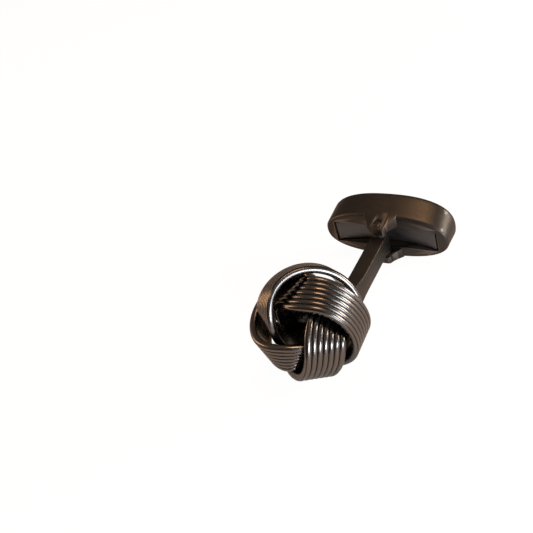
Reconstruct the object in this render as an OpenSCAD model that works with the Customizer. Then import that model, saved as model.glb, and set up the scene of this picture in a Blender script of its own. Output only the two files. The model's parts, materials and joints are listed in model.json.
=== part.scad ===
// Knot cufflink: a hollow ball woven from one ribbed strip, a tapered post,
// and an oval toggle that swivels on a pin between two ears.
// X runs along the toggle, Y along the post from the knot to the toggle, Z up.

/* [Knot] */
// Mean diameter of the sphere that the strip swirls about
knot_mid_d = 10.8; // [10.2:0.05:12]
// Width of the strip
strip_w = 4.85; // [4:0.05:4.9]
// Thickness of the strip over its ridges
strip_t = 0.9; // [0.6:0.05:1]
// Ridges along the strip
ridge_count = 7; // [3:1:9]
// Height of a ridge over the grooves beside it
ridge_h = 0.16; // [0.05:0.01:0.25]
// Plain margin between the outer ridges and the edge of the strip
strip_margin = 0.12; // [0.05:0.01:0.3]
// Gap between the rising lengths outside and the falling lengths inside
cross_gap = 1.6; // [1.4:0.05:1.8]
// How much farther out the strip runs at the holes than between them
hole_rise = 0.55; // [0.3:0.05:0.8]
// Latitude that the middle of the strip reaches round the front and back holes
bight_lat = 42.8; // [42:0.1:45]
// Sway of the strip along its turn, to each side of a steady pace
turn_sway = 2.1; // [2:0.1:4]
// Latitude added to the falling lengths and taken off the rising ones
fall_sway = 4.2; // [4:0.1:6.5]
// Lean of the strip at the holes, which lifts its edge there
hole_lean = -1.9; // [-3:0.1:4]
// Lean of the strip a quarter of the way from hole to hole
quarter_lean = 5.4; // [3:0.1:7]
// Gap where two lengths of the strip meet end to end
seam_gap = 0.03; // [0.02:0.01:0.1]

/* [Knot on its post] */
// Angle that the front hole looks up from the post's line
hole_up = 39; // [0:0.1:60]
// Angle that the front hole looks aside from the post's line
hole_aside = 2.4; // [-20:0.1:20]
// Turn of the knot about its own hole
knot_spin = 71.6; // [0:0.1:90]
// Sideways step from the knot's centre to the post's line
post_aside = 2.2; // [0:0.1:2.5]
// Drop from the knot's centre to the post's line
post_drop = 2.2; // [0:0.1:2.8]

/* [Post] */
// Knot centre to the toggle's front face, along the post
reach = 18.2; // [17:0.1:22]
// Thickness of the post
post_t = 2; // [1.6:0.1:2]
// Height of the post
post_h = 2.65; // [2:0.05:2.8]
// Thickness of the post's foot at the knot
foot_t = 1.6; // [1.2:0.1:2]
// Height of the post's foot at the knot
foot_h = 4.4; // [3:0.1:4.6]
// Length over which the foot widens
flare_l = 4.5; // [2:0.1:6]
// How deep the foot is let into the knot
foot_sink = 1.1; // [0.6:0.1:1.6]
// Radius of the barrel that turns on the pin
barrel_r = 1; // [0.95:0.05:1]

/* [Toggle] */
// Length of the toggle
toggle_l = 17.4; // [15.6:0.1:20]
// Width of the toggle at its back
toggle_w = 9.1; // [8.4:0.1:9.8]
// Width of the toggle at its front rim
rim_w = 7.1; // [6.6:0.1:8]
// Depth of the toggle
toggle_h = 4; // [3.2:0.1:5]
// Squareness of the oval, 2 is an ellipse
oval_power = 2.3; // [2:0.05:3]
// Share of the plain oval's width that is kept, which gives its long sides a straight run
side_share = 0.968; // [0.95:0.002:0.99]
// Rounding of the back edge
back_round = 0.7; // [0.3:0.05:1]
// Rounding of the front rim
rim_round = 0.4; // [0.2:0.05:0.5]
// Thickness of the floor under the spring pocket
floor_t = 1; // [0.6:0.1:1.5]

/* [Ears and pin] */
// Height of the ears in front of the rim
ear_h = 2.1; // [2.05:0.05:2.4]
// Width of an ear at its root
ear_root_w = 4.4; // [4:0.1:6]
// Width of an ear at its tip
ear_tip_w = 2.4; // [2.3:0.1:3]
// Rounding of an ear's corners
ear_round = 0.4; // [0.2:0.05:0.6]
// Width of the slot between the ears
slot_w = 4; // [3.6:0.1:4.2]
// Distance of the pin in front of the rim
pin_out = 1.05; // [1.05:0.05:1.2]
// Radius of the pin
pin_r = 0.55; // [0.4:0.05:0.6]
// Radial clearance of the pin in the ears
ear_fit = 0.01; // [0.01:0.01:0.03]
// Radial clearance of the pin in the barrel
barrel_fit = 0.04; // [0.02:0.01:0.08]
// Clearance between the barrel's ends and the ears
barrel_play = 0.1; // [0.05:0.01:0.2]

/* [Spring] */
// Length of the spring leaf
leaf_l = 14.1; // [12:0.1:14.2]
// Width of the spring leaf
leaf_w = 3; // [2.4:0.1:3.1]
// Thickness of the spring leaf
leaf_t = 0.35; // [0.2:0.05:0.5]
// Depth of the leaf's ends below the rim
leaf_recess = 0.1; // [0.1:0.05:0.4]
// How much deeper the middle of the leaf bows than its ends
leaf_bow = 1; // [0.4:0.05:1.2]
// Gap between the leaf and the wall of its pocket
leaf_gap = 0.25; // [0.15:0.05:0.25]

/* [Hidden] */

cut_over = 0.5;
knot_color = "dimgray";
toggle_color = "gray";
leaf_color = "silver";

// One strip runs three times round the ball and bends four times at each hole.
// The running angle goes from 0 to 360 over the whole strip. The rising lengths all
// run outside and the falling ones inside, so the ball shows a swirl at each hole.
laps = 3;
bights = 4;
waves = 2 * bights;
weave_h = (strip_t + cross_gap) / 2;
// The strip lies deepest this far on from each front hole's bight
deepest = 90 / bights;
band_end = deepest;
band_start = band_end - 360 / bights;
ring_step = 2.5;
slope_step = 0.01;
ridge_pitch = (strip_w - 2 * strip_margin) / ridge_count;
mid_r = knot_mid_d / 2;
edge_share = 0.3;

// Turns of a point about Z and about X
function spin_z(p, a) = [p[0] * cos(a) - p[1] * sin(a), p[0] * sin(a) + p[1] * cos(a), p[2]];
function tip_x(p, a) = [p[0], p[1] * cos(a) - p[2] * sin(a), p[1] * sin(a) + p[2] * cos(a)];

// Centreline of the strip by its running angle, about the knot's centre
function lon(t) = laps * t + turn_sway * sin(waves * t);
function lat(t) = bight_lat * cos(bights * t) + fall_sway * sin(waves * t);
function out_dir(t) = [cos(lat(t)) * cos(lon(t)), cos(lat(t)) * sin(lon(t)), sin(lat(t))];
function lift(t) = mid_r - weave_h * sin(bights * t) + hole_rise / 2 * cos(waves * t);
function mid(t) = lift(t) * out_dir(t);
function unit(v) = v / norm(v);
function along(t) = unit(mid(t + slope_step) - mid(t - slope_step));
function face(t) = unit(out_dir(t) - (out_dir(t) * along(t)) * along(t));
function across(t) = cross(along(t), face(t));
function lean(t) = hole_lean * cos(bights * t) - quarter_lean * sin(waves * t);
function leant_face(t) = face(t) * cos(lean(t)) + across(t) * sin(lean(t));
function leant_across(t) = across(t) * cos(lean(t)) - face(t) * sin(lean(t));

// Section of the strip as [across, out] pairs: ridges outside, plain inside
outer_side = [
    for (i = [0 : 2 * ridge_count])
        [
            -strip_w / 2 + strip_margin + i * ridge_pitch / 2,
            strip_t / 2 - (i % 2 == 0 ? ridge_h : 0)
        ]
];
inner_side = [
    [strip_w / 2, 0],
    [strip_w / 2 - edge_share * strip_t, -strip_t / 2],
    [0, -strip_t / 2],
    [-strip_w / 2 + edge_share * strip_t, -strip_t / 2],
    [-strip_w / 2, 0],
];
section = concat(outer_side, inner_side);
section_n = len(section);

// Turn from the knot's own axes, hole along +Z, to the post's axes
function on_post(p) = spin_z(tip_x(spin_z(p, knot_spin), 90 - hole_up), hole_aside);

function ring(t) = [
    for (s = section) on_post(mid(t) + s[0] * leant_across(t) + s[1] * leant_face(t))
];
seam_angle = seam_gap / 2 * slope_step / norm(mid(band_end + slope_step) - mid(band_end));
function band_angles(k) =
    let (from = 360 / bights * k)
    let (first = band_start + from + seam_angle, last = band_end + from - seam_angle)
    let (count = round((band_end - band_start) / ring_step))
    [for (i = [0 : count]) first + (last - first) * i / count];
function band_points(k) = [for (t = band_angles(k)) for (p = ring(t)) p];

// Extents of the whole weave about its centre
weave_points = [for (k = [0 : bights - 1]) for (p = band_points(k)) p];
weave_x = [for (p = weave_points) p[0]];
weave_y = [for (p = weave_points) p[1]];
weave_z = [for (p = weave_points) p[2]];

// Place of everything in the part's frame: the box's bottom centre is the origin
front = min(weave_y);
back = reach + toggle_h;
left = min(min(weave_x), post_aside - toggle_l / 2);
right = max(max(weave_x), post_aside + toggle_l / 2);
knot_at = [-(left + right) / 2, -(front + back) / 2, -min(weave_z)];
line_x = knot_at[0] + post_aside;
line_z = knot_at[2] - post_drop;
rim_y = knot_at[1] + reach;
pin_y = rim_y - pin_out;

// Pocket for the spring, and the slot between the ears that the barrel fills
pocket_l = leaf_l + 2 * leaf_gap;
pocket_w = leaf_w + 2 * leaf_gap;
pocket_h = toggle_h - floor_t;
barrel_l = slot_w - 2 * barrel_play;
// End of the post's foot, from the pin, inside the wall of the ball
foot_y = knot_at[1] - pin_y + sqrt(pow(mid_r + weave_h, 2) - pow(post_aside, 2) - pow(post_drop, 2))
    - foot_sink + strip_t / 2;
flare_power = 1.5;
flank_power = 1.4;
outline_n = 72;
round_n = 5;

module knot_band(k) {
    points = band_points(k);
    rings = len(band_angles(k));
    n = section_n;
    sides = [
        for (i = [0 : rings - 2]) for (j = [0 : n - 1])
            let (a = i * n + j, b = i * n + (j + 1) % n)
            each [[a, b + n, b], [a, a + n, b + n]]
    ];
    caps = [
        [for (j = [0 : n - 1]) j],
        [for (j = [0 : n - 1]) rings * n - 1 - j],
    ];
    color(knot_color) translate(knot_at) polyhedron(points, concat(sides, caps), convexity = 8);
}

// Side view of the post in [along Y, up Z] about the pin
module post_side() {
    steps = 12;
    flare = [
        for (i = [0 : steps])
            let (s = i / steps)
            [foot_y + flare_l * (1 - s), post_h / 2 + (foot_h - post_h) / 2 * pow(s, flare_power)]
    ];
    lower = [for (i = [steps : -1 : 0]) [flare[i][0], -flare[i][1]]];
    polygon(concat([[0, post_h / 2]], flare, lower, [[0, -post_h / 2]]));
}

// Top view of the post in [along X, along Y] about the pin
module post_top() {
    waist_y = foot_y + flare_l;
    polygon([
        [-post_t / 2, 0], [-post_t / 2, waist_y],
        [-foot_t / 2, foot_y], [foot_t / 2, foot_y],
        [post_t / 2, waist_y], [post_t / 2, 0],
    ]);
}

module post() {
    color(knot_color) translate([line_x, pin_y, line_z]) difference() {
        union() {
            intersection() {
                translate([-foot_t, 0, 0]) rotate([90, 0, 90])
                    linear_extrude(2 * foot_t) post_side();
                translate([0, 0, -foot_h]) linear_extrude(2 * foot_h) post_top();
            }
            translate([0, 0, -barrel_l / 2]) cylinder(r = barrel_r, h = barrel_l, $fn = 48);
        }
        translate([0, 0, -barrel_l / 2 - cut_over])
            cylinder(r = pin_r + barrel_fit, h = barrel_l + 2 * cut_over, $fn = 48);
    }
}

// Oval outline at depth y behind the rim, with its half axes drawn in by inset. The
// side widens steadily from the rim to the back, and runs on in front as the ears' faces.
function half_w(y) = rim_w / 2 + (toggle_w - rim_w) / 2 * y / toggle_h;
function sign_pow(v, e) = sign(v) * pow(abs(v), e);
function straight(v) = sign(v) * min(1, abs(v) / side_share);
function oval(inset, y) = [
    for (i = [0 : outline_n - 1])
        let (a = 360 * i / outline_n)
        [
            (toggle_l / 2 - inset) * sign_pow(cos(a), 2 / oval_power),
            y,
            (half_w(y) - inset) * straight(sign_pow(sin(a), 2 / oval_power))
        ]
];

// Solid through a row of ovals, each given as [inset, y]
module oval_loft(steps) {
    n = outline_n;
    points = [for (s = steps) for (p = oval(s[0], s[1])) p];
    sides = [
        for (i = [0 : len(steps) - 2]) for (j = [0 : n - 1])
            let (a = i * n + j, b = i * n + (j + 1) % n)
            each [[a, b, b + n], [a, b + n, a + n]]
    ];
    caps = [
        [for (j = [0 : n - 1]) n - 1 - j],
        [for (j = [0 : n - 1]) (len(steps) - 1) * n + j],
    ];
    polyhedron(points, concat(sides, caps), convexity = 4);
}

// Oval body with a rounded rim in front and a rounded edge at the back
module oval_block() {
    rim = [
        for (i = [0 : round_n])
            let (a = 90 * i / round_n)
            [rim_round * (1 - sin(a)), rim_round * (1 - cos(a))]
    ];
    heel = [
        for (i = [0 : round_n])
            let (a = 90 * i / round_n)
            [back_round * (1 - cos(a)), toggle_h - back_round * (1 - sin(a))]
    ];
    oval_loft(concat(rim, heel));
}

// Both ears before their gap is cut, in [along X, along Y] about the rim's middle:
// steep flanks that ease into the rim, and a tip with rounded corners
module ear_outline() {
    steps = 8;
    spread = (ear_root_w - ear_tip_w) / 2;
    flank = [
        for (i = [0 : steps])
            let (s = i / steps)
            [ear_tip_w / 2 + spread * pow(1 - s, flank_power), -s * (ear_h - ear_round)]
    ];
    tip = [
        for (i = [1 : steps])
            let (a = 90 * i / steps)
            [ear_tip_w / 2 - ear_round * (1 - cos(a)), -ear_h + ear_round * (1 - sin(a))]
    ];
    half = concat([[ear_root_w / 2, rim_round]], flank, tip);
    n = len(half);
    polygon([for (i = [0 : 2 * n - 1]) i < n ? half[i] : [-half[2 * n - i - 1][0], half[2 * n - i - 1][1]]]);
}

module toggle_body() {
    color(toggle_color) translate([line_x, rim_y, line_z]) difference() {
        union() {
            oval_block();
            intersection() {
                oval_loft([[0, -ear_h - cut_over], [0, rim_round]]);
                translate([0, 0, -toggle_w / 2]) linear_extrude(toggle_w) ear_outline();
            }
        }
        translate([-pocket_l / 2, 0, -pocket_w / 2]) cube([pocket_l, pocket_h, pocket_w]);
        translate([-ear_root_w, -ear_h - cut_over, -slot_w / 2])
            cube([2 * ear_root_w, ear_h + cut_over, slot_w]);
        translate([0, -pin_out, -toggle_w / 2])
            cylinder(r = pin_r + ear_fit, h = toggle_w, $fn = 48);
    }
}

// Leaf that bows away from the rim, its ends turned down onto the floor of the pocket
module spring_leaf() {
    steps = 16;
    end_x = leaf_l / 2;
    inner_x = end_x - leaf_t;
    function bow(x) = leaf_recess + leaf_bow * (1 - pow(x / end_x, 2));
    front_side = [for (i = [0 : steps]) let (x = end_x * (2 * i / steps - 1)) [x, bow(x)]];
    back_side = [for (i = [0 : steps]) let (x = inner_x * (1 - 2 * i / steps)) [x, bow(x) + leaf_t]];
    color(leaf_color) translate([line_x, rim_y, line_z - leaf_w / 2]) linear_extrude(leaf_w)
        polygon(concat(
            front_side, [[end_x, pocket_h], [inner_x, pocket_h]],
            back_side, [[-inner_x, pocket_h], [-end_x, pocket_h]]));
}

module pivot_pin() {
    color(toggle_color) translate([line_x, pin_y, line_z - half_w(-pin_out)])
        cylinder(r = pin_r, h = 2 * half_w(-pin_out), $fn = 48);
}

knot_band(0);  // knot_band_1
knot_band(1);  // knot_band_2
knot_band(2);  // knot_band_3
knot_band(3);  // knot_band_4
post();
toggle_body();
spring_leaf();
pivot_pin();
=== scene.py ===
"""Knot cufflink with a swivel toggle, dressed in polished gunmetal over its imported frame."""

import json
import math

import bmesh
import bpy
from bpy.props import FloatProperty, FloatVectorProperty, IntProperty, PointerProperty
from mathutils import Matrix, Vector


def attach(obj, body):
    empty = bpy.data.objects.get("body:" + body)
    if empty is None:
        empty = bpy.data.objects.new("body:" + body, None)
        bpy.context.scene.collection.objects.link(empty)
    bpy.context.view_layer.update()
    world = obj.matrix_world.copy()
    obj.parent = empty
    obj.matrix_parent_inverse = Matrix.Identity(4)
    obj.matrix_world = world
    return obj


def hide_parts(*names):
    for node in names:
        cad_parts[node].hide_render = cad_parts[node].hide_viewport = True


bl_info = {
    "name": "Knot Cufflink",
    "version": (1, 0, 0),
    "blender": (4, 5, 0),
    "location": "View3D > Sidebar > Cufflink",
    "description": "Makes the ribbed knot, post and toggle of a cufflink over its frame",
    "category": "Object",
}

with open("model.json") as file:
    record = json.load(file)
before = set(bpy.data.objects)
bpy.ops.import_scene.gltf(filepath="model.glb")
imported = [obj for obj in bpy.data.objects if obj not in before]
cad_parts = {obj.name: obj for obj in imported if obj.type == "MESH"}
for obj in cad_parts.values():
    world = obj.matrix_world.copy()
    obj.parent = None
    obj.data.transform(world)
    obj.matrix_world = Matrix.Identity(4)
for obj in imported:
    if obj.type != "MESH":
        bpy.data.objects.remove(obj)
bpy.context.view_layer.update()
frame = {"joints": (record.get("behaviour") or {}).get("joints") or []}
HINGE = Vector(frame["joints"][0]["pos_m"])

MM = 0.001
MERGE_DISTANCE = 0.001 * MM

# The weave closes after three turns with four bights; each band is one quarter of it
LAPS = 3
BIGHTS = 4
WAVES = 2 * BIGHTS
BAND_ARC = 360 / BIGHTS
BAND_END = 90 / BIGHTS

# Powers of the curves, as in the solids
RIDGE_POWER = 2.4
FLARE_POWER = 1.5
FLANK_POWER = 1.4

# How much painted light the strip's metal gets, from 0 in a groove, which is full painted shade, to
# 1 on a ridge; the edges and the inside of the strip get painted shade too
EDGE_PAINTED_LIGHT = 0.8
INNER_EDGE_PAINTED_LIGHT = 0.5
INNER_PAINTED_LIGHT = 0.2


def length(name, description, default, **limits):
    """A size in metres, given in millimetres."""
    return FloatProperty(
        name=name, description=description, default=default * MM, unit="LENGTH", **limits
    )


def degrees(name, description, default):
    """A plain angle in degrees."""
    return FloatProperty(name=name, description=description, default=default)


def share(name, description, default):
    """A number from 0 to 1."""
    return FloatProperty(
        name=name, description=description, default=default, min=0, max=1, subtype="FACTOR"
    )


def colour(name, description, default):
    """A linear colour."""
    return FloatVectorProperty(
        name=name, description=description, default=default, size=3, min=0, max=1, subtype="COLOR"
    )


class KnotSizes(bpy.types.PropertyGroup):
    """Sizes of the woven ball, and how it sits on the post"""

    mid_diameter: length("Mean diameter", "Sphere that the strip swirls about", 10.8)
    strip_width: length("Strip width", "Width of the ribbed strip", 4.85)
    strip_thickness: length("Strip thickness", "Thickness over the ridges", 0.9)
    ridges: IntProperty(name="Ridges", description="Ridges along the strip", default=7, min=1)
    ridge_height: length("Ridge height", "Crest over the grooves beside it", 0.16)
    margin: length("Margin", "Plain strip outside the outer ridges", 0.12)
    inner_round: length("Inner rounding", "Rounding of the inside edges", 0.27)
    cross_gap: length("Crossing gap", "Gap between rising and falling lengths", 1.6)
    hole_rise: length("Hole rise", "Extra height of the strip at the holes", 0.55)
    seam_gap: length("Seam gap", "Gap where two lengths meet end to end", 0.03)
    bight_latitude: degrees("Bight latitude", "Reach of the strip round the holes", 42.8)
    turn_sway: degrees("Turn sway", "Sway of the strip along its turn", 2.1)
    fall_sway: degrees("Fall sway", "Latitude added to falling lengths, taken off rising ones", 4.2)
    hole_lean: degrees("Hole lean", "Lean of the strip at the holes", -1.9)
    quarter_lean: degrees("Quarter lean", "Lean a quarter of the way from hole to hole", 5.4)
    hole_up: degrees("Hole up", "Angle of the front hole above the post's line", 39)
    hole_aside: degrees("Hole aside", "Angle of the front hole to one side", 2.4)
    spin: degrees("Spin", "Turn of the knot about its own hole", 71.6)


class PostSizes(bpy.types.PropertyGroup):
    """Sizes of the post and its barrel"""

    reach: length("Reach", "Knot centre to the toggle's front face", 18.2)
    aside: length("Aside", "Sideways step from the knot's centre", 2.2)
    drop: length("Drop", "Drop from the knot's centre", 2.2)
    thickness: length("Thickness", "Thickness along the post", 2)
    height: length("Height", "Height along the post", 2.65)
    foot_thickness: length("Foot thickness", "Thickness at the knot", 1.6)
    foot_height: length("Foot height", "Height at the knot", 4.4)
    flare: length("Flare", "Length over which the foot widens", 4.5)
    foot_sink: length("Foot sink", "How deep the foot is let into the knot", 1.1)
    barrel_radius: length("Barrel radius", "Barrel that turns on the pin", 1)
    barrel_play: length("Barrel play", "Clearance at each end of the barrel", 0.1)
    barrel_fit: length("Barrel fit", "Clearance of the pin in the barrel", 0.04)
    edge_round: length("Edge rounding", "Rounding of the long edges", 0.16)


class ToggleSizes(bpy.types.PropertyGroup):
    """Sizes of the toggle, its ears, pin and spring leaf"""

    long: length("Length", "Length of the toggle", 17.4)
    wide: length("Width", "Width of the toggle at its back", 9.1)
    rim_wide: length("Rim width", "Width of the toggle at its front rim", 7.1)
    deep: length("Depth", "Depth of the toggle", 4)
    oval_power: FloatProperty(name="Oval power", description="2 is an ellipse", default=2.4)
    back_round: length("Back rounding", "Rounding of the back edge", 0.7)
    rim_round: length("Rim rounding", "Rounding of the front rim", 0.4)
    floor: length("Floor", "Thickness under the spring pocket", 1)
    ear_height: length("Ear height", "Ears in front of the rim", 2.1)
    ear_root: length("Ear root", "Width of an ear at its root", 4.4)
    ear_tip: length("Ear tip", "Width of an ear at its tip", 2.4)
    ear_round: length("Ear rounding", "Rounding of an ear's corners", 0.4)
    slot_wide: length("Slot width", "Slot between the ears", 4)
    pin_out: length("Pin out", "Distance of the pin in front of the rim", 1.05)
    pin_radius: length("Pin radius", "Radius of the pin", 0.55)
    pin_chamfer: length("Pin chamfer", "Rounding of the pin's ends", 0.1)
    ear_fit: length("Ear fit", "Clearance of the pin in the ears", 0.01)
    leaf_long: length("Leaf length", "Length of the spring leaf", 14.1)
    leaf_wide: length("Leaf width", "Width of the spring leaf", 3)
    leaf_thick: length("Leaf thickness", "Thickness of the spring leaf", 0.35)
    leaf_recess: length("Leaf recess", "Depth of the leaf's ends below the rim", 0.1)
    leaf_bow: length("Leaf bow", "How much deeper the middle of the leaf lies", 1)
    leaf_gap: length("Leaf gap", "Gap between the leaf and its pocket", 0.25)
    edge_break: length("Edge break", "Rounding of the cut edges", 0.08)


class MetalLooks(bpy.types.PropertyGroup):
    """Colours and polish of the metals"""

    knot: colour("Knot", "Gunmetal on the ridges", (0.225, 0.215, 0.215))
    # Painted shade: this dark colour, painted into the grooves and onto the inside of the strip,
    # stands for shade and not for darker metal
    groove: colour("Groove", "Darkened metal between the ridges", (0.045, 0.04, 0.038))
    toggle: colour("Toggle", "Satin gunmetal of the toggle and post", (0.10, 0.094, 0.09))
    # A lighter colour that is laid on sharp convex edges by pointiness
    edge_tone: colour("Worn", "Brighter metal on rubbed edges", (0.25, 0.235, 0.225))
    leaf: colour("Leaf", "Steel of the spring leaf", (0.18, 0.19, 0.215))
    knot_roughness: share("Knot roughness", "Polish of the knot", 0.22)
    toggle_roughness: share("Toggle roughness", "Polish of the toggle", 0.42)
    leaf_roughness: share("Leaf roughness", "Polish of the leaf", 0.42)


class StageLooks(bpy.types.PropertyGroup):
    """Floor and light round the part"""

    floor: colour("Floor", "Pale floor", (0.86, 0.86, 0.86))
    floor_size: length("Floor size", "Side of the floor", 1200)
    sky: colour("Sky", "Even warm light all round", (0.15, 0.117, 0.093))


def scene_value(group, name):
    """The value that the panel holds for one property."""
    return getattr(getattr(bpy.context.scene, group), name)


# Small helpers round Blender's own operators


def start_fresh():
    """Object mode with nothing selected."""
    if bpy.context.object and bpy.context.object.mode != "OBJECT":
        bpy.ops.object.mode_set(mode="OBJECT")
    bpy.ops.object.select_all(action="DESELECT")


def named(name):
    """The active object, under its own name."""
    piece = bpy.context.object
    piece.name = name
    piece.data.name = name
    return piece


def activate(piece):
    """Makes one piece the only selected and active one."""
    start_fresh()
    piece.select_set(True)
    bpy.context.view_layer.objects.active = piece


def apply_all(piece):
    """Applies every modifier in order."""
    activate(piece)
    for modifier in list(piece.modifiers):
        bpy.ops.object.modifier_apply(modifier=modifier.name)


def boolean(piece, tool, operation):
    """Joins or cuts with a tool, which is then deleted."""
    modifier = piece.modifiers.new("Shape", "BOOLEAN")
    modifier.operation = operation
    modifier.solver = "EXACT"
    modifier.object = tool
    apply_all(piece)
    bpy.data.objects.remove(tool, do_unlink=True)


def soften(piece, width, segments=3, angle=35):
    """Rounds the sharp edges and smooths the faces between them."""
    modifier = piece.modifiers.new("Soften", "BEVEL")
    modifier.width = width
    modifier.segments = segments
    modifier.limit_method = "ANGLE"
    modifier.angle_limit = math.radians(angle)
    modifier.use_clamp_overlap = True
    apply_all(piece)
    bpy.ops.object.shade_smooth_by_angle(angle=math.radians(angle))


def block(name, low, high):
    """A box between two corners."""
    start_fresh()
    low, high = Vector(low), Vector(high)
    bpy.ops.mesh.primitive_cube_add(size=1, location=(low + high) / 2, scale=high - low)
    bpy.ops.object.transform_apply(location=True, rotation=True, scale=True)
    return named(name)


def rod(name, centre, radius, depth, vertices=64):
    """A cylinder along Z."""
    start_fresh()
    bpy.ops.mesh.primitive_cylinder_add(
        vertices=vertices, radius=radius, depth=depth, location=centre
    )
    bpy.ops.object.transform_apply(location=True, rotation=True, scale=True)
    return named(name)


def select_edges(chosen):
    """In edit mode, selects the edges that a test picks."""
    mesh = bmesh.from_edit_mesh(bpy.context.object.data)
    for part in (mesh.verts, mesh.edges, mesh.faces):
        for item in part:
            item.select = False
    for edge in mesh.edges:
        if chosen(edge):
            edge.select_set(True)
    bmesh.update_edit_mesh(bpy.context.object.data)


def prism(name, outline, direction):
    """A flat outline pushed out along a direction, closed and facing outwards."""
    start_fresh()
    bpy.ops.mesh.primitive_circle_add(vertices=len(outline), radius=1, fill_type="NGON")
    piece = named(name)
    bpy.ops.object.transform_apply(location=True, rotation=True, scale=True)
    for vertex, place in zip(piece.data.vertices, outline):
        vertex.co = place
    bpy.ops.object.mode_set(mode="EDIT")
    bpy.ops.mesh.select_all(action="SELECT")
    bpy.ops.mesh.extrude_region_move(TRANSFORM_OT_translate={"value": direction})
    bpy.ops.mesh.select_all(action="SELECT")
    bpy.ops.mesh.normals_make_consistent(inside=False)
    bpy.ops.object.mode_set(mode="OBJECT")
    return piece


def skin(name, rings, attribute=None, marks=()):
    """A closed tube through rings of points, with a mark kept for each point."""
    start_fresh()
    count = len(rings[0])
    bpy.ops.mesh.primitive_grid_add(x_subdivisions=count, y_subdivisions=len(rings) - 1, size=1)
    piece = named(name)
    mesh = piece.data
    places = [place for ring in rings for place in (*ring, ring[0])]
    mesh.vertices.foreach_set("co", [value for place in places for value in place])
    if attribute:
        layer = mesh.attributes.new(attribute, "FLOAT_VECTOR", "POINT")
        kept = [mark for ring in marks for mark in (*ring, ring[0])]
        layer.data.foreach_set("vector", [value for mark in kept for value in mark])
    mesh.update()
    bpy.ops.object.mode_set(mode="EDIT")
    bpy.ops.mesh.select_all(action="SELECT")
    bpy.ops.mesh.remove_doubles(threshold=MERGE_DISTANCE)
    bpy.ops.mesh.select_all(action="SELECT")
    bpy.ops.mesh.fill_holes(sides=0)
    bpy.ops.mesh.select_all(action="SELECT")
    bpy.ops.mesh.normals_make_consistent(inside=False)
    bpy.ops.object.mode_set(mode="OBJECT")
    return piece


def rim_middle():
    """The middle of the toggle's front rim, on the post's line."""
    return HINGE + Vector((0, scene_value("toggle_sizes", "pin_out"), 0))


def knot_centre():
    """The middle of the woven ball."""
    post = bpy.context.scene.post_sizes
    return rim_middle() + Vector((-post.aside, -post.reach, post.drop))


# The weave: one strip, three times round the ball, over and under itself


def spin_z(angle):
    """Turn about Z by an angle in degrees."""
    return Matrix.Rotation(math.radians(angle), 3, "Z")


def knot_turn(knot):
    """Turn from the knot's own axes, hole along +Z, to the post's axes."""
    tip = Matrix.Rotation(math.radians(90 - knot.hole_up), 3, "X")
    return spin_z(knot.hole_aside) @ tip @ spin_z(knot.spin)


def out_direction(knot, t):
    """Direction of the strip's middle at a running angle."""
    lon = math.radians(LAPS * t + knot.turn_sway * math.sin(math.radians(WAVES * t)))
    reach = knot.bight_latitude * math.cos(math.radians(BIGHTS * t))
    lat = math.radians(reach + knot.fall_sway * math.sin(math.radians(WAVES * t)))
    return Vector((math.cos(lat) * math.cos(lon), math.cos(lat) * math.sin(lon), math.sin(lat)))


def weave_height(knot):
    """How far the rising lengths run outside the mean sphere, and the falling ones inside."""
    return (knot.strip_thickness + knot.cross_gap) / 2


def strip_middle(knot, t):
    """Point on the strip's middle line, about the knot's centre."""
    swing = weave_height(knot) * math.sin(math.radians(BIGHTS * t))
    rise = knot.hole_rise / 2 * math.cos(math.radians(WAVES * t))
    return (knot.mid_diameter / 2 - swing + rise) * out_direction(knot, t)


def strip_axes(knot, t, step=0.01):
    """Across and outward directions of the strip at a running angle."""
    along = (strip_middle(knot, t + step) - strip_middle(knot, t - step)).normalized()
    out = out_direction(knot, t)
    face = (out - out.dot(along) * along).normalized()
    across = along.cross(face)
    bight, wave = math.radians(BIGHTS * t), math.radians(WAVES * t)
    lean = math.radians(knot.hole_lean * math.cos(bight) - knot.quarter_lean * math.sin(wave))
    return (
        across * math.cos(lean) - face * math.sin(lean),
        face * math.cos(lean) + across * math.sin(lean),
    )


def strip_section(knot):
    """Section as (across, out, relief): reeded outside, round edges, plain inside; the relief also
    sets the painted shade, dark in the grooves and on the inside.
    """
    half, thick = knot.strip_width / 2, knot.strip_thickness / 2
    pitch = (knot.strip_width - 2 * knot.margin) / knot.ridges
    ridge_steps, edge_steps, inner_steps = 10, 6, 8
    groove = thick - knot.ridge_height
    points = []
    for step in range(knot.ridges * ridge_steps + 1):
        swing = abs(2 * (step % ridge_steps) / ridge_steps - 1)
        relief = 1 - swing**RIDGE_POWER
        place = -half + knot.margin + step / ridge_steps * pitch
        points.append((place, groove + knot.ridge_height * relief, relief))
    for step in range(1, edge_steps + 1):
        turn = math.pi / 2 * step / edge_steps
        side = half - knot.margin * (1 - math.sin(turn))
        points.append((side, groove * math.cos(turn), EDGE_PAINTED_LIGHT))
    flat = half - knot.inner_round
    for step in range(1, edge_steps + 1):
        turn = math.pi / 2 * step / edge_steps
        side = flat + knot.inner_round * math.cos(turn)
        points.append((side, -thick * math.sin(turn), INNER_EDGE_PAINTED_LIGHT))
    for step in range(1, inner_steps):
        points.append((flat - 2 * flat * step / inner_steps, -thick, INNER_PAINTED_LIGHT))
    for step in range(edge_steps, 0, -1):
        turn = math.pi / 2 * step / edge_steps
        side = -flat - knot.inner_round * math.cos(turn)
        points.append((side, -thick * math.sin(turn), INNER_EDGE_PAINTED_LIGHT))
    for step in range(edge_steps, 0, -1):
        turn = math.pi / 2 * step / edge_steps
        side = -half + knot.margin * (1 - math.sin(turn))
        points.append((side, groove * math.cos(turn), EDGE_PAINTED_LIGHT))
    return points


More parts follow.
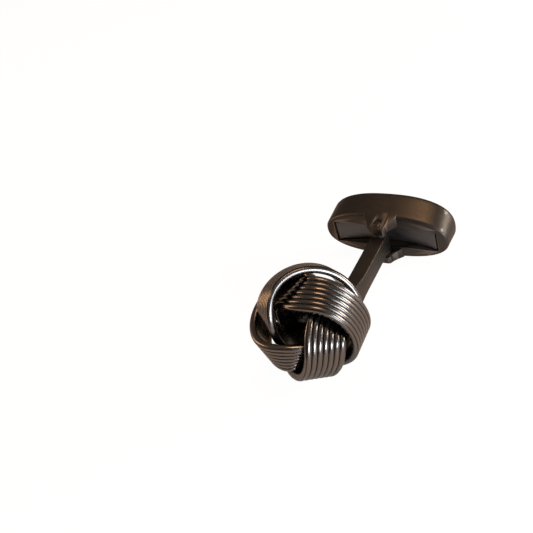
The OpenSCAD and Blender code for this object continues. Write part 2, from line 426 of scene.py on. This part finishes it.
def ribbed_band(index, steps=150):
    """One quarter of the strip, swept along its path, with a small gap at each seam."""
    knot = bpy.context.scene.knot_sizes
    section = strip_section(knot)
    centre, turn = knot_centre(), knot_turn(knot)
    pace = strip_middle(knot, BAND_END + 1) - strip_middle(knot, BAND_END)
    seam = knot.seam_gap / 2 / pace.length
    first = BAND_END - BAND_ARC + BAND_ARC * index + seam
    last = BAND_END + BAND_ARC * index - seam
    rings, marks = [], []
    travelled, before = 0.0, None
    for step in range(steps + 1):
        t = first + (last - first) * step / steps
        middle = strip_middle(knot, t)
        across, out = strip_axes(knot, t)
        if before is not None:
            travelled += (middle - before).length
        before = middle
        rings.append(
            [centre + turn @ (middle + side * across + rise * out) for side, rise, _ in section]
        )
        # The third mark is the painted light: dark painted shade in the grooves, at the edges and
        # on the inside of the strip
        marks.append([(travelled / MM, side / MM, relief) for side, _, relief in section])
    band = skin("ribbed_band_%d" % (index + 1), rings, "strip_place", marks)
    bpy.ops.object.shade_smooth_by_angle(angle=math.radians(50))
    return band


# Metals

# The colour sockets of a Mix node, which share their names with its other sockets
MIX_COLOUR_A, MIX_COLOUR_B, MIX_COLOUR_OUT = 6, 7, 2


def node_tree(name):
    """A fresh material with a Principled shader."""
    material = bpy.data.materials.new(name)
    material.use_nodes = True
    tree = material.node_tree
    shader = tree.nodes["Principled BSDF"]
    shader.inputs["Metallic"].default_value = 1
    return material, tree, shader


def noise(tree, vector, scale=1.0, detail=3.0):
    """Noise on given coordinates."""
    texture = tree.nodes.new("ShaderNodeTexNoise")
    texture.inputs["Scale"].default_value = scale
    texture.inputs["Detail"].default_value = detail
    tree.links.new(vector, texture.inputs["Vector"])
    return texture.outputs["Fac"]


def stretched(tree, vector, scale):
    """Coordinates stretched by a Mapping node."""
    mapping = tree.nodes.new("ShaderNodeMapping")
    mapping.inputs["Scale"].default_value = scale
    tree.links.new(vector, mapping.inputs["Vector"])
    return mapping.outputs["Vector"]


def spread(tree, value, low, high, out_low, out_high):
    """A value carried from one range to another."""
    node = tree.nodes.new("ShaderNodeMapRange")
    for socket, number in zip(
        ("From Min", "From Max", "To Min", "To Max"), (low, high, out_low, out_high)
    ):
        node.inputs[socket].default_value = number
    tree.links.new(value, node.inputs["Value"])
    return node.outputs["Result"]


def blend_colours(tree, factor, first, second):
    """Mixes two colours, each a colour or a socket."""
    node = tree.nodes.new("ShaderNodeMix")
    node.data_type = "RGBA"
    tree.links.new(factor, node.inputs["Factor"])
    for index, value in ((MIX_COLOUR_A, first), (MIX_COLOUR_B, second)):
        socket = node.inputs[index]
        if isinstance(value, bpy.types.NodeSocket):
            tree.links.new(value, socket)
        else:
            socket.default_value = (*value, 1)
    return node.outputs[MIX_COLOUR_OUT]


def darker(tone, part):
    """A colour at part of its strength."""
    return [value * part for value in tone]


def uneven_roughness(tree, shader, pattern, middle, below, above):
    """Roughness that follows a noise, from below a middle value to above it."""
    value = spread(tree, pattern, 0.3, 0.7, middle - below, middle + above)
    tree.links.new(value, shader.inputs["Roughness"])


def bump(tree, shader, height, strength, distance):
    """Fine relief on the shader's normal."""
    node = tree.nodes.new("ShaderNodeBump")
    node.inputs["Strength"].default_value = strength
    node.inputs["Distance"].default_value = distance
    tree.links.new(height, node.inputs["Height"])
    tree.links.new(node.outputs["Normal"], shader.inputs["Normal"])


def reeded_gunmetal():
    """Polished ridges with painted shade in the grooves and on the strip's inside, and drawing
    marks along the strip.
    """
    looks = bpy.context.scene.metal_looks
    material, tree, shader = node_tree("reeded_gunmetal")
    place = tree.nodes.new("ShaderNodeAttribute")
    place.attribute_name = "strip_place"
    parts = tree.nodes.new("ShaderNodeSeparateXYZ")
    tree.links.new(place.outputs["Vector"], parts.inputs["Vector"])
    # Painted shade: the groove colour goes into the grooves and onto the inside, the knot colour
    # onto the ridges
    height = spread(tree, parts.outputs["Z"], 0.1, 0.75, 0, 1)
    tree.links.new(
        blend_colours(tree, height, looks.groove, looks.knot), shader.inputs["Base Color"]
    )
    marks = noise(tree, stretched(tree, place.outputs["Vector"], (0.35, 9, 0.2)))
    uneven_roughness(tree, shader, marks, looks.knot_roughness, 0.05, 0.08)
    bump(tree, shader, marks, strength=0.12, distance=0.02 * MM)
    return material


def satin_gunmetal():
    """Satin metal with a soft grain, lighter on sharp convex edges."""
    looks = bpy.context.scene.metal_looks
    material, tree, shader = node_tree("satin_gunmetal")
    place = tree.nodes.new("ShaderNodeTexCoord").outputs["Object"]
    clouds = noise(tree, place, scale=350, detail=4)
    grain = noise(tree, stretched(tree, place, (900, 6000, 6000)))
    edges = tree.nodes.new("ShaderNodeNewGeometry").outputs["Pointiness"]
    # Lighter colour on sharp convex edges, found by pointiness
    edge_mask = spread(tree, edges, 0.53, 0.6, 0, 1)
    base = blend_colours(tree, clouds, darker(looks.toggle, 0.86), looks.toggle)
    tree.links.new(blend_colours(tree, edge_mask, base, looks.edge_tone), shader.inputs["Base Color"])
    uneven_roughness(tree, shader, grain, looks.toggle_roughness, 0.05, 0.07)
    bump(tree, shader, grain, strength=0.08, distance=0.01 * MM)
    return material


def brushed_leaf():
    """Brushed steel of the leaf, brushed along its length."""
    looks = bpy.context.scene.metal_looks
    material, tree, shader = node_tree("brushed_leaf")
    place = tree.nodes.new("ShaderNodeTexCoord").outputs["Object"]
    brushing = noise(tree, stretched(tree, place, (400, 9000, 9000)))
    base = blend_colours(tree, brushing, darker(looks.leaf, 0.85), looks.leaf)
    tree.links.new(base, shader.inputs["Base Color"])
    uneven_roughness(tree, shader, brushing, looks.leaf_roughness, 0.06, 0.06)
    bump(tree, shader, brushing, strength=0.1, distance=0.01 * MM)
    return material


MAKERS = {
    "reeded_gunmetal": reeded_gunmetal,
    "satin_gunmetal": satin_gunmetal,
    "brushed_leaf": brushed_leaf,
}


def finish_piece(piece, metal, body, node):
    """Gives a piece its metal, its body and the node it stands for."""
    material = bpy.data.materials.get(metal) or MAKERS[metal]()
    piece.data.materials.clear()
    piece.data.materials.append(material)
    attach(piece, body)
    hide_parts(node)


# Operators, one for each piece or group of like pieces


class CUFFLINK_OT_weave_bands(bpy.types.Operator):
    """Weaves the four lengths of ribbed strip into the hollow ball"""

    bl_idname = "cufflink.weave_bands"
    bl_label = "Weave Ribbed Bands"

    def execute(self, context):
        for index in range(BIGHTS):
            band = ribbed_band(index)
            finish_piece(
                band, "reeded_gunmetal", "knot_and_post", "knot_band_%d" % (index + 1)
            )
        return {"FINISHED"}


class CUFFLINK_OT_post(bpy.types.Operator):
    """Shapes the tapered post with its barrel"""

    bl_idname = "cufflink.post"
    bl_label = "Post"

    def execute(self, context):
        scene = context.scene
        knot, post, toggle = scene.knot_sizes, scene.post_sizes, scene.toggle_sizes
        run = post.reach - toggle.pin_out
        radius = knot.mid_diameter / 2 + weave_height(knot)
        foot = -run + math.sqrt(radius**2 - post.aside**2 - post.drop**2)
        foot += knot.strip_thickness / 2 - post.foot_sink
        shaft = block(
            "post",
            (-post.foot_thickness / 2, foot, -post.foot_height / 2),
            (post.foot_thickness / 2, 0, post.foot_height / 2),
        )
        bpy.ops.object.mode_set(mode="EDIT")
        select_edges(lambda edge: abs(edge.verts[0].co.y - edge.verts[1].co.y) > post.flare)
        bpy.ops.mesh.bevel(offset=post.edge_round, segments=4)
        cuts = 24
        for cut in range(1, cuts):
            bpy.ops.mesh.select_all(action="SELECT")
            bpy.ops.mesh.bisect(plane_co=(0, foot * cut / cuts, 0), plane_no=(0, 1, 0))
        bpy.ops.object.mode_set(mode="OBJECT")
        for vertex in shaft.data.vertices:
            along = vertex.co.y
            flare = max(0, 1 - (along - foot) / post.flare)
            height = post.height + (post.foot_height - post.height) * flare**FLARE_POWER
            thick = post.thickness + (post.foot_thickness - post.thickness) * flare
            vertex.co.x *= thick / post.foot_thickness
            vertex.co.z *= height / post.foot_height
            vertex.co += HINGE
        depth = toggle.slot_wide - 2 * post.barrel_play
        barrel = rod("barrel", HINGE, post.barrel_radius, depth)
        soften(barrel, toggle.edge_break)
        boolean(shaft, barrel, "UNION")
        bore = rod("bore", HINGE, toggle.pin_radius + post.barrel_fit, 2 * depth)
        boolean(shaft, bore, "DIFFERENCE")
        bpy.ops.object.shade_smooth_by_angle(angle=math.radians(35))
        finish_piece(shaft, "satin_gunmetal", "knot_and_post", "post")
        return {"FINISHED"}


def half_width(toggle, back):
    """Half the toggle's width at a depth behind its rim; the ears run on in front."""
    return toggle.rim_wide / 2 + (toggle.wide - toggle.rim_wide) / 2 * back / toggle.deep


def oval(toggle, inset, back, count=192):
    """The toggle's oval at a depth behind its rim, drawn in by an inset."""
    points = []
    for step in range(count):
        angle = 2 * math.pi * step / count
        across = math.copysign(abs(math.cos(angle)) ** (2 / toggle.oval_power), math.cos(angle))
        up = math.copysign(abs(math.sin(angle)) ** (2 / toggle.oval_power), math.sin(angle))
        side = across * (toggle.long / 2 - inset)
        height = up * (half_width(toggle, back) - inset)
        points.append(rim_middle() + Vector((side, back, height)))
    return points


def ear_outline(toggle, steps=14):
    """Both ears seen along the pin: steep flanks, and a tip with rounded corners."""
    tip = toggle.ear_tip / 2
    half = [(toggle.ear_root / 2, toggle.rim_round)]
    for step in range(steps + 1):
        part = step / steps
        side = tip + (toggle.ear_root / 2 - tip) * (1 - part) ** FLANK_POWER
        half.append((side, -part * (toggle.ear_height - toggle.ear_round)))
    for step in range(1, steps + 1):
        angle = math.pi / 2 * step / steps
        side = tip - toggle.ear_round * (1 - math.cos(angle))
        half.append((side, -toggle.ear_height + toggle.ear_round * (1 - math.sin(angle))))
    both = half + [(-x, y) for x, y in reversed(half)]
    start = rim_middle() - Vector((0, 0, toggle.wide))
    return [start + Vector((x, y, 0)) for x, y in both]


class CUFFLINK_OT_toggle_body(bpy.types.Operator):
    """Shapes the oval toggle with its two ears, pocket and pin bore"""

    bl_idname = "cufflink.toggle_body"
    bl_label = "Toggle Body"

    def execute(self, context):
        toggle = context.scene.toggle_sizes
        rim = rim_middle()
        count = 8  # Steps round each rounded edge, and along the wall
        turns = [math.pi / 2 * step / count for step in range(count + 1)]
        rounds = [(1 - math.sin(turn), 1 - math.cos(turn)) for turn in turns]
        wall = toggle.deep - toggle.rim_round - toggle.back_round
        steps = [(toggle.rim_round * inset, toggle.rim_round * back) for inset, back in rounds]
        steps += [(0, toggle.rim_round + wall * step / count) for step in range(1, count)]
        steps += [
            (toggle.back_round * inset, toggle.deep - toggle.back_round * back)
            for inset, back in reversed(rounds)
        ]
        body = skin("toggle_body", [oval(toggle, inset, back) for inset, back in steps])
        ears = prism("ears", ear_outline(toggle), (0, 0, 2 * toggle.wide))
        front, root = -2 * toggle.ear_height, toggle.rim_round
        column = skin("column", [oval(toggle, 0, front), oval(toggle, 0, root)])
        boolean(ears, column, "INTERSECT")
        boolean(body, ears, "UNION")
        half_long = toggle.leaf_long / 2 + toggle.leaf_gap
        half_wide = toggle.leaf_wide / 2 + toggle.leaf_gap
        pocket = block(
            "pocket",
            rim + Vector((-half_long, -8 * toggle.edge_break, -half_wide)),
            rim + Vector((half_long, toggle.deep - toggle.floor, half_wide)),
        )
        boolean(body, pocket, "DIFFERENCE")
        gap = block(
            "gap",
            rim + Vector((-toggle.ear_root, -2 * toggle.ear_height, -toggle.slot_wide / 2)),
            rim + Vector((toggle.ear_root, 0, toggle.slot_wide / 2)),
        )
        boolean(body, gap, "DIFFERENCE")
        bore = rod("bore", HINGE, toggle.pin_radius + toggle.ear_fit, 2 * toggle.wide)
        boolean(body, bore, "DIFFERENCE")
        soften(body, toggle.edge_break, segments=2, angle=50)
        finish_piece(body, "satin_gunmetal", "toggle", "toggle_body")
        return {"FINISHED"}


class CUFFLINK_OT_spring_leaf(bpy.types.Operator):
    """Lays the bowed spring leaf in its pocket, with its ends turned down"""

    bl_idname = "cufflink.spring_leaf"
    bl_label = "Spring Leaf"

    def execute(self, context):
        toggle = context.scene.toggle_sizes
        start = rim_middle() - Vector((0, 0, toggle.leaf_wide / 2))
        end, floor = toggle.leaf_long / 2, toggle.deep - toggle.floor
        inner, steps = end - toggle.leaf_thick, 48

        def bow(x):
            """Depth of the leaf's front face behind the rim."""
            return toggle.leaf_recess + toggle.leaf_bow * (1 - (x / end) ** 2)

        sweep = [2 * step / steps - 1 for step in range(steps + 1)]
        outline = [(end * x, bow(end * x)) for x in sweep]
        outline += [(end, floor), (inner, floor)]
        outline += [(-inner * x, bow(inner * x) + toggle.leaf_thick) for x in sweep]
        outline += [(-inner, floor), (-end, floor)]
        leaf = prism(
            "spring_leaf", [start + Vector((x, y, 0)) for x, y in outline], (0, 0, toggle.leaf_wide)
        )
        soften(leaf, toggle.edge_break)
        finish_piece(leaf, "brushed_leaf", "toggle", "spring_leaf")
        return {"FINISHED"}


class CUFFLINK_OT_pivot_pin(bpy.types.Operator):
    """Sets the pin through the ears and the barrel"""

    bl_idname = "cufflink.pivot_pin"
    bl_label = "Pivot Pin"

    def execute(self, context):
        toggle = context.scene.toggle_sizes
        depth = 2 * half_width(toggle, -toggle.pin_out)
        pin = rod("pivot_pin", HINGE, toggle.pin_radius, depth)
        soften(pin, toggle.pin_chamfer)
        finish_piece(pin, "satin_gunmetal", "toggle", "pivot_pin")
        return {"FINISHED"}


# Stage: floor, sky, lamps and the camera at the photograph's place

CAMERA_FROM_KNOT = Vector((33.676, -42.082, 57.596)) * MM
CAMERA_LOOK = Vector((-0.5268, 0.5678, -0.6325))
CAMERA_UP = Vector((-0.1237, 0.6850, 0.7179))
CAMERA_LENS = 44.16
CAMERA_SENSOR = 36

# The floor lies at the foot of the part, and glows towards the camera alone
FLOOR_DROP = 0.02 * MM
FLOOR_GLOW = 1.12
FLOOR_GLOW_SHARE = 0.85

# Each lamp: name, azimuth, elevation, distance, width, height, watts, colour
LAMPS = (
    ("warm_top", 150, 74, 0.30, 0.06, 0.16, 0.22, (1.0, 0.58, 0.30)),
    ("warm_left", 283, 22, 0.28, 0.05, 0.20, 0.17, (1.0, 0.55, 0.28)),
    ("pale_right", 118, 14, 0.28, 0.14, 0.08, 0.42, (1.0, 0.86, 0.72)),
    ("cool_front", 58, 12, 0.28, 0.16, 0.08, 0.50, (0.86, 0.93, 1.0)),
)


def camera_matrix(position, look, up):
    """World matrix of a camera from its place, its line of sight and its up side."""
    look = look.normalized()
    right = look.cross(up).normalized()
    turn = Matrix((right, right.cross(look), -look)).transposed()
    return Matrix.Translation(position) @ turn.to_4x4()


class CUFFLINK_OT_stage(bpy.types.Operator):
    """Sets the floor, the sky, the lamps and the camera"""

    bl_idname = "cufflink.stage"
    bl_label = "Stage"

    def execute(self, context):
        looks = context.scene.stage_looks
        start_fresh()
        bpy.ops.mesh.primitive_plane_add(size=looks.floor_size, location=(0, 0, -FLOOR_DROP))
        bpy.ops.object.transform_apply(location=True, rotation=True, scale=True)
        floor = named("floor")
        floor.data.materials.append(self.pale_floor(looks))
        self.sky(looks)
        middle = knot_centre()
        for name, azimuth, elevation, distance, wide, high, watts, tint in LAMPS:
            self.lamp(middle, name, azimuth, elevation, distance, wide, high, watts, tint)
        anchor = Vector((HINGE.x, middle.y, HINGE.z))
        bpy.ops.object.camera_add()
        camera = named("camera")
        camera.matrix_world = camera_matrix(anchor + CAMERA_FROM_KNOT, CAMERA_LOOK, CAMERA_UP)
        camera.data.lens = CAMERA_LENS
        camera.data.sensor_width = CAMERA_SENSOR
        camera.data.clip_start = MM
        context.scene.camera = camera
        context.scene.view_settings.view_transform = "Standard"
        return {"FINISHED"}

    def pale_floor(self, looks):
        """Pale matt floor that is nearly white to the camera and keeps a soft shadow."""
        material = bpy.data.materials.new("pale_floor")
        material.use_nodes = True
        tree = material.node_tree
        shader = tree.nodes["Principled BSDF"]
        shader.inputs["Base Color"].default_value = (*looks.floor, 1)
        shader.inputs["Roughness"].default_value = 0.9
        shader.inputs["Specular IOR Level"].default_value = 0
        glow = tree.nodes.new("ShaderNodeEmission")
        glow.inputs["Strength"].default_value = FLOOR_GLOW
        path = tree.nodes.new("ShaderNodeLightPath")
        seen = tree.nodes.new("ShaderNodeMath")
        seen.operation = "MULTIPLY"
        seen.inputs[1].default_value = FLOOR_GLOW_SHARE
        tree.links.new(path.outputs["Is Camera Ray"], seen.inputs[0])
        mix = tree.nodes.new("ShaderNodeMixShader")
        tree.links.new(seen.outputs[0], mix.inputs["Fac"])
        tree.links.new(shader.outputs[0], mix.inputs[1])
        tree.links.new(glow.outputs[0], mix.inputs[2])
        tree.links.new(mix.outputs[0], tree.nodes["Material Output"].inputs["Surface"])
        return material

    def sky(self, looks):
        """Even light all round, white where the camera sees it."""
        world = bpy.data.worlds.new("studio")
        world.use_nodes = True
        bpy.context.scene.world = world
        tree = world.node_tree
        even = tree.nodes["Background"]
        even.inputs["Color"].default_value = (*looks.sky, 1)
        white = tree.nodes.new("ShaderNodeBackground")
        white.inputs["Color"].default_value = (1, 1, 1, 1)
        path = tree.nodes.new("ShaderNodeLightPath")
        mix = tree.nodes.new("ShaderNodeMixShader")
        tree.links.new(path.outputs["Is Camera Ray"], mix.inputs["Fac"])
        tree.links.new(even.outputs[0], mix.inputs[1])
        tree.links.new(white.outputs[0], mix.inputs[2])
        tree.links.new(mix.outputs[0], tree.nodes["World Output"].inputs["Surface"])

    def lamp(self, middle, name, azimuth, elevation, distance, wide, high, watts, tint):
        """One softbox that faces the knot."""
        turn, rise = math.radians(azimuth), math.radians(elevation)
        way = Vector(
            (math.sin(turn) * math.cos(rise), -math.cos(turn) * math.cos(rise), math.sin(rise))
        )
        bpy.ops.object.light_add(type="AREA", location=middle + way * distance)
        lamp = named(name)
        lamp.rotation_euler = (-way).to_track_quat("-Z", "Y").to_euler()
        lamp.data.shape = "RECTANGLE"
        lamp.data.size = wide
        lamp.data.size_y = high
        lamp.data.energy = watts
        lamp.data.color = tint


class CUFFLINK_PT_panel(bpy.types.Panel):
    """Lists the cufflink's pieces in the sidebar"""

    bl_idname = "CUFFLINK_PT_panel"
    bl_label = "Knot Cufflink"
    bl_space_type = "VIEW_3D"
    bl_region_type = "UI"
    bl_category = "Cufflink"

    def draw(self, context):
        for group in GROUPS:
            box = self.layout.box()
            settings = getattr(context.scene, group)
            box.label(text=group.replace("_", " ").capitalize())
            for name in type(settings).__annotations__:
                box.prop(settings, name)
        for operator in STEPS:
            self.layout.operator(operator.bl_idname)


GROUPS = {
    "knot_sizes": KnotSizes,
    "post_sizes": PostSizes,
    "toggle_sizes": ToggleSizes,
    "metal_looks": MetalLooks,
    "stage_looks": StageLooks,
}

STEPS = (
    CUFFLINK_OT_weave_bands,
    CUFFLINK_OT_post,
    CUFFLINK_OT_toggle_body,
    CUFFLINK_OT_spring_leaf,
    CUFFLINK_OT_pivot_pin,
    CUFFLINK_OT_stage,
)


def register():
    """Adds the settings, the operators and the panel."""
    for name, group in GROUPS.items():
        bpy.utils.register_class(group)
        setattr(bpy.types.Scene, name, PointerProperty(type=group))
    for operator in STEPS:
        bpy.utils.register_class(operator)
    bpy.utils.register_class(CUFFLINK_PT_panel)


def unregister():
    """Takes them away again, last first."""
    bpy.utils.unregister_class(CUFFLINK_PT_panel)
    for operator in reversed(STEPS):
        bpy.utils.unregister_class(operator)
    for name, group in reversed(list(GROUPS.items())):
        delattr(bpy.types.Scene, name)
        bpy.utils.unregister_class(group)


def main():
    register()
    for step in STEPS:
        family, action = step.bl_idname.split(".")
        getattr(getattr(bpy.ops, family), action)()


if __name__ == "__main__":
    main()
